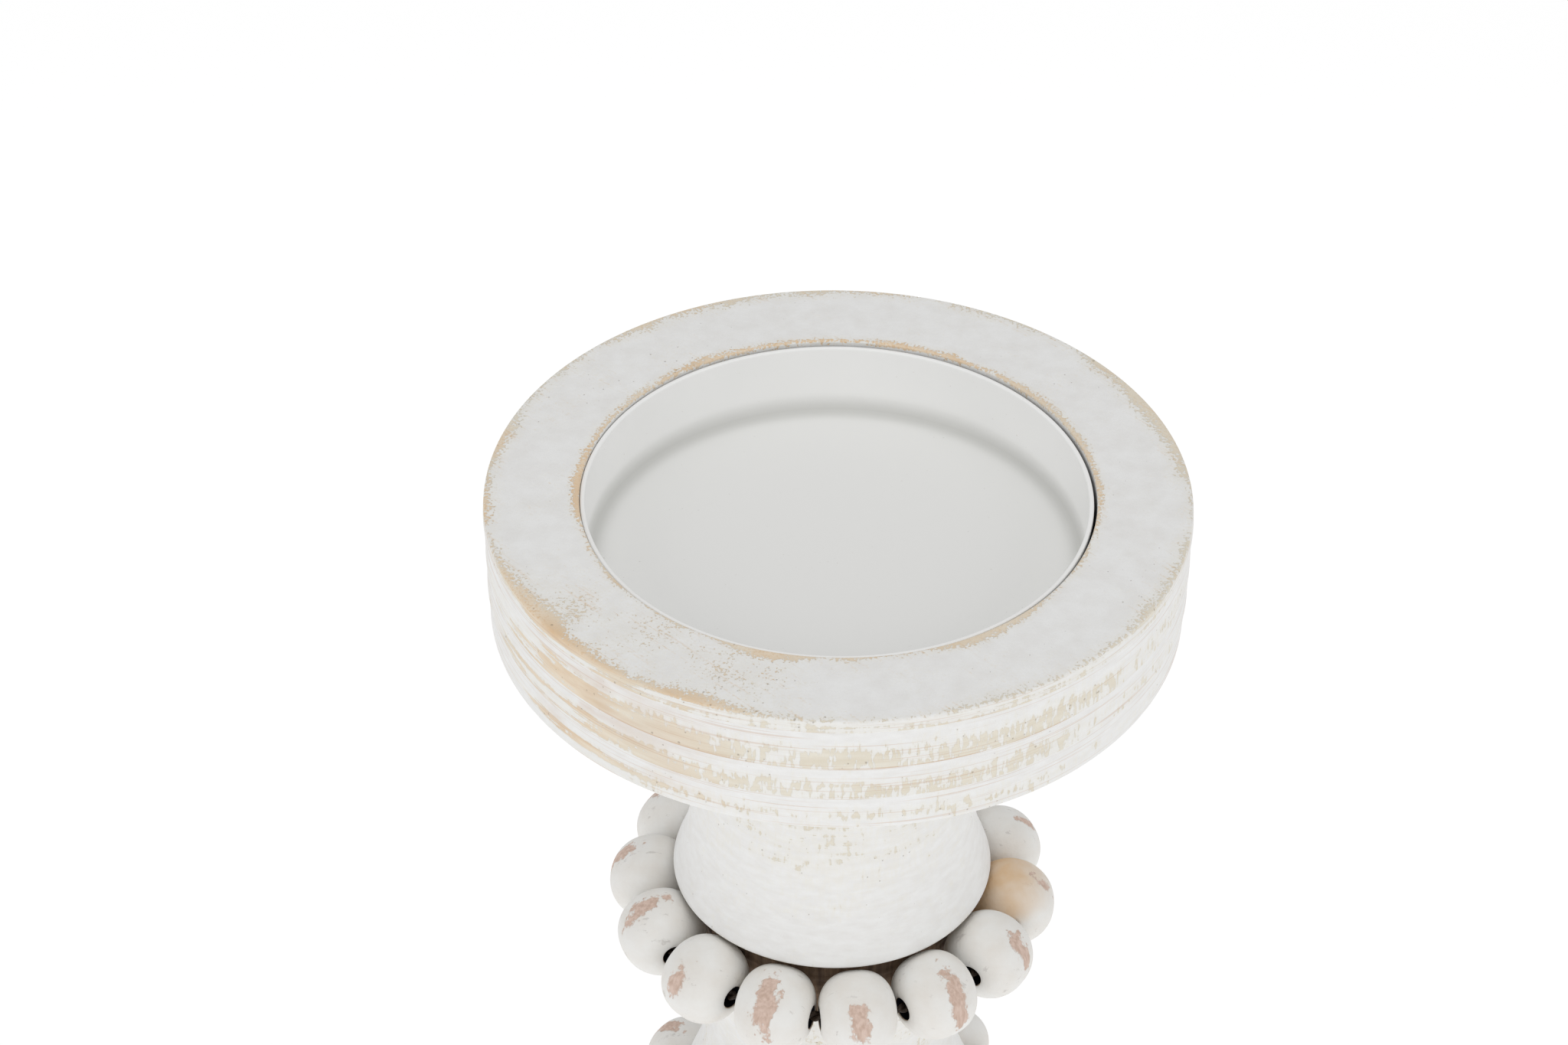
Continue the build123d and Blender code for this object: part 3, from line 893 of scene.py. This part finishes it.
class CANDLESTICK_OT_beads(bpy.types.Operator):
    """Two strings of painted beads, each bead a little different"""

    bl_idname = "candlestick.beads"
    bl_label = "Beads"

    def execute(self, context):
        size = context.scene.candlestick_size
        random = np.random.default_rng(29)
        for node in BEAD_NODES:
            self.bead(node, size.bead_segments, random)
        return {"FINISHED"}

    def outline(self, radius):
        """Half |x / a| ** 2.4 + |r / b| ** 2.4 = 1 from hole to hole, then the hole.

        Returns x along the hole, r from it and how deep in the hole each point is.
        """
        half, hole, power = 7.0, 2.3, 2.4
        first = math.asin((hole / radius) ** (power / 2))
        angle = np.linspace(first, math.pi - first, 44)
        x = half * np.sign(np.cos(angle)) * np.abs(np.cos(angle)) ** (2 / power)
        r = radius * np.sin(angle) ** (2 / power)
        bend = np.linspace(0, math.pi / 2, 5)[1:]
        lip_x = x[0] - 0.35 * (1 - np.cos(bend))
        lip_r = r[0] - 0.2 * np.sin(bend)
        bore_x = np.linspace(lip_x[-1], -lip_x[-1], 12)[1:-1]
        x = np.concatenate([x, -lip_x, -bore_x, lip_x[::-1]])
        r = np.concatenate([r, lip_r, np.full_like(bore_x, lip_r[-1]), lip_r[::-1]])
        lip = np.linspace(0.3, 1, len(bend))
        deep = np.concatenate([0 * angle, lip, np.ones_like(bore_x), lip[::-1]])
        return x[:, None], r[:, None], deep[:, None]

    def bead(self, node, segments, random):
        """One bead: the outline turned about the hole, slightly out of round."""
        low, high = (np.array(corner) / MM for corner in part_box(node))
        centre = (low + high) / 2
        outward = np.array([centre[0], centre[1], 0.0])
        outward /= np.linalg.norm(outward)
        along = np.array([-outward[1], outward[0], 0.0])
        radius = (high[2] - low[2]) / 2
        x, r, deep = self.outline(radius)
        turn = circle(segments)[None, :]
        phase = random.uniform(0, TWO_PI, 3)
        swell = 1 - 0.006 * (1 + np.cos(2 * turn + phase[0]))
        swell = swell - 0.004 * (1 + np.cos(3 * turn + phase[1]))
        ring = r * np.where(deep > 0, 1.0, swell)
        x = x * np.ones_like(turn)
        grid = centre + x[..., None] * along + (ring * np.cos(turn))[..., None] * outward
        grid[..., 2] += ring * np.sin(turn)

        tilt = math.radians(42 + random.uniform(-16, 22))
        slide = random.uniform(-1.0, 1.0)
        long, wide = random.uniform(3.3, 5.6), random.uniform(1.1, 1.8)
        around = ((turn - tilt + math.pi) % TWO_PI - math.pi) * radius
        patch = np.hypot((x - slide) / wide, around / long)
        around = ((turn - tilt - 3.2 + math.pi) % TWO_PI - math.pi) * radius
        back = np.hypot((x + slide) / wide, around / long) + 0.25
        stained = node in ("upper_bead_04", "lower_bead_09")
        wear = {
            "patch": np.clip(np.minimum(patch, back) + random.uniform(-0.2, 0.4), 0, 3),
            "bore": deep * np.ones_like(turn),
            "stain": stained * np.clip(0.35 + 0.8 * np.cos(turn - 2.3), 0, 1) * np.ones_like(x),
        }
        piece = surface(node.replace("_bead_", "_wood_bead_"), [grid], wear)
        dress(piece, chalk_painted_bead, node, "bead_wood", node)


class CANDLESTICK_OT_cords(bpy.types.Operator):
    """Twisted cord of each bead string, closed on itself"""

    bl_idname = "candlestick.cords"
    bl_label = "Cords"

    def execute(self, context):
        twist = context.scene.candlestick_size.cord_twist / MM
        for string in STRINGS:
            node = f"{string}_cord"
            low, high, outer = extent(node)
            thick = (high - low) / 2
            ring, height = outer - thick, (high + low) / 2
            twists = round(TWO_PI * ring / twist)
            strands = [self.strand(ring, height, thick / 2, twists, start)
                       for start in (0, math.pi)]
            piece = surface(f"{string}_twisted_cord", strands)
            dress(piece, waxed_cotton_cord, f"{string}_string", "bead_cord", node)
        return {"FINISHED"}

    def strand(self, ring, height, radius, twists, start):
        """Round strand whose centre winds round a ring: a helix bent into a circle."""
        steps, sides = 10, 8
        turn = circle(twists * steps)[:, None]
        wind = turn * twists + start
        section = circle(sides)[None, :]
        out = ring + radius * np.cos(wind) + radius * np.cos(section)
        rise = height + radius * np.sin(wind) + radius * np.sin(section)
        return np.stack([out * np.sin(turn), -out * np.cos(turn), rise], axis=-1)


class CANDLESTICK_OT_hardware(bpy.types.Operator):
    """Threaded rod, nuts, washers and the felt pad"""

    bl_idname = "candlestick.hardware"
    bl_label = "Rod, nuts, washers and felt"

    def execute(self, context):
        self.thread(context.scene.candlestick_size.thread_pitch / MM)
        self.felt()
        for node in ("rod_nuts", "rod_washers"):
            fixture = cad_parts[node]
            fixture.data.materials.clear()
            fixture.data.materials.append(finish(zinc_plated_steel))
        return {"FINISHED"}

    def thread(self, pitch):
        """Rod whose radius falls by the thread's depth between the crests of a helix."""
        node, depth, steps, sides = "threaded_rod", 0.55, 6, 20
        low, high, radius = extent(node)
        heights = np.linspace(low, high, int((high - low) / pitch * steps))[:, None]
        turn = circle(sides)[None, :]
        ring = radius - depth * (0.5 - 0.5 * np.cos(TWO_PI * heights / pitch - turn))
        heights = heights * np.ones_like(turn)
        grid = np.stack([ring * np.sin(turn), -ring * np.cos(turn), heights], axis=-1)
        piece = surface("steel_rod", [grid], poles=True)
        dress(piece, zinc_plated_steel, COLUMN_BODY, "steel", node)

    def felt(self):
        """Felt disc with softly rounded, slightly uneven edges."""
        node = "felt_pad"
        low, high, radius = extent(node)
        corners = [(FAN_RADIUS, low, 0, 3.0), (radius, low, 0.5, 0.5), (radius, high, 0.4, 3.0),
                   (FAN_RADIUS, high, 0, 1.0)]
        segments = 192
        grid = turned(rounded(corners, is_open=True), segments, wobble=0.1, seed=21)
        piece = surface("felt_disc", [grid], poles=True)
        dress(piece, pressed_wool_felt, COLUMN_BODY, "felt", node)


# ---------------------------------------------------------------- stage


# Soft boxes: name, place and width in metres, and watts
LAMPS = (
    ("left_box", (-1.4, -1.2, 1.25), 1.2, 6.0),
    ("right_box", (1.4, -1.2, 1.25), 1.2, 5.8),
    ("overhead_box", (0.0, -0.2, 2.1), 1.4, 5.0),
)
WORLD_LIGHT = 0.56
# The floor: half its width and its height in metres, and how much it glows
FLOOR_REACH = 6.0
FLOOR_LEVEL = -0.2 * MM
FLOOR_GLOW = 0.345
# Camera: lens in millimetres, angles in radians, and its distance before the axis and
# above the rim in cup radii
LENS = 97.03
YAW, PITCH, ROLL = -0.01606, 0.65888, 0.0070
BEFORE_AXIS, ABOVE_RIM = 9.468, 7.2187


class CANDLESTICK_OT_stage(bpy.types.Operator):
    """Pale floor, soft studio light and the camera"""

    bl_idname = "candlestick.stage"
    bl_label = "Stage"

    def execute(self, context):
        scene = context.scene
        scene.view_settings.view_transform = "Standard"
        self.floor()
        self.surroundings(scene)
        for lamp in LAMPS:
            self.lamp(*lamp)
        self.camera(scene)
        return {"FINISHED"}

    def floor(self):
        """Floor of white studio paper, a hair under the felt, that glows to stay white."""
        corners = [(x * FLOOR_REACH, y * FLOOR_REACH, FLOOR_LEVEL)
                   for x, y in ((-1, -1), (1, -1), (1, 1), (-1, 1))]
        mesh = bpy.data.meshes.new("studio_floor")
        mesh.from_pydata(corners, [], [(0, 1, 2, 3)])
        floor = bpy.data.objects.new("studio_floor", mesh)
        bpy.context.collection.objects.link(floor)
        material, _, shader = new_finish("studio_paper", 0.2, Roughness=0.9)
        shader.inputs["Base Color"].default_value = linear("#F4F4F4")
        shader.inputs["Emission Color"].default_value = linear("#FFFFFF")
        shader.inputs["Emission Strength"].default_value = FLOOR_GLOW
        mesh.materials.append(material)

    def surroundings(self, scene):
        """Even white surroundings."""
        world = bpy.data.worlds.new("studio_world")
        world.use_nodes = True
        background = world.node_tree.nodes["Background"]
        background.inputs["Color"].default_value = linear("#FFFFFF")
        background.inputs["Strength"].default_value = WORLD_LIGHT
        scene.world = world

    def lamp(self, name, place, width, power):
        """Square soft box aimed just under the cup."""
        light = bpy.data.lights.new(name, "AREA")
        light.size = width
        light.energy = power
        lamp = bpy.data.objects.new(name, light)
        aim = Vector((0, 0, foot_of("candle_cup") * MM)) - Vector(place)
        turn = aim.to_track_quat("-Z", "Y").to_matrix().to_4x4()
        lamp.matrix_world = Matrix.Translation(place) @ turn
        bpy.context.collection.objects.link(lamp)

    def camera(self, scene):
        """Long lens looking down on the cup from the front, placed in cup radii."""
        _, rim, radius = extent("candle_cup")
        unit, rim = (radius - BAND_CROWN) * MM, rim * MM
        lens = bpy.data.cameras.new("camera")
        lens.sensor_width = 36.0
        lens.lens = LENS
        camera = bpy.data.objects.new("camera", lens)
        ahead = Vector((math.sin(YAW) * math.cos(PITCH), math.cos(YAW) * math.cos(PITCH),
                        -math.sin(PITCH)))
        right = Vector((math.cos(YAW), -math.sin(YAW), 0))
        up = right.cross(ahead)
        rolled_right = math.cos(ROLL) * right + math.sin(ROLL) * up
        rolled_up = -math.sin(ROLL) * right + math.cos(ROLL) * up
        turn = Matrix((rolled_right, rolled_up, -ahead)).transposed().to_4x4()
        place = Vector((0, -BEFORE_AXIS * unit, rim + ABOVE_RIM * unit))
        camera.matrix_world = Matrix.Translation(place) @ turn
        bpy.context.collection.objects.link(camera)
        scene.camera = camera


# ---------------------------------------------------------------- panel and run


OPERATORS = (
    CANDLESTICK_OT_stage,
    CANDLESTICK_OT_cup,
    CANDLESTICK_OT_liner,
    CANDLESTICK_OT_column,
    CANDLESTICK_OT_necks,
    CANDLESTICK_OT_beads,
    CANDLESTICK_OT_cords,
    CANDLESTICK_OT_base,
    CANDLESTICK_OT_hardware,
)


class CANDLESTICK_PT_panel(bpy.types.Panel):
    """Lists the candlestick's pieces"""

    bl_idname = "CANDLESTICK_PT_panel"
    bl_label = "Candlestick"
    bl_space_type = "VIEW_3D"
    bl_region_type = "UI"
    bl_category = "Candlestick"

    def draw(self, context):
        for operator in OPERATORS:
            self.layout.operator(operator.bl_idname)


CLASSES = (CandlestickSize, CandlestickLook, *OPERATORS, CANDLESTICK_PT_panel)


def register():
    """Adds the classes and the two groups of settings."""
    for item in CLASSES:
        bpy.utils.register_class(item)
    bpy.types.Scene.candlestick_size = bpy.props.PointerProperty(type=CandlestickSize)
    bpy.types.Scene.candlestick_look = bpy.props.PointerProperty(type=CandlestickLook)


def unregister():
    """Takes away what register adds."""
    del bpy.types.Scene.candlestick_look
    del bpy.types.Scene.candlestick_size
    for item in reversed(CLASSES):
        bpy.utils.unregister_class(item)


def main():
    """Builds every piece in order."""
    register()
    for operator in OPERATORS:
        getattr(bpy.ops.candlestick, operator.bl_idname.partition(".")[2])()


if __name__ == "__main__":
    main()
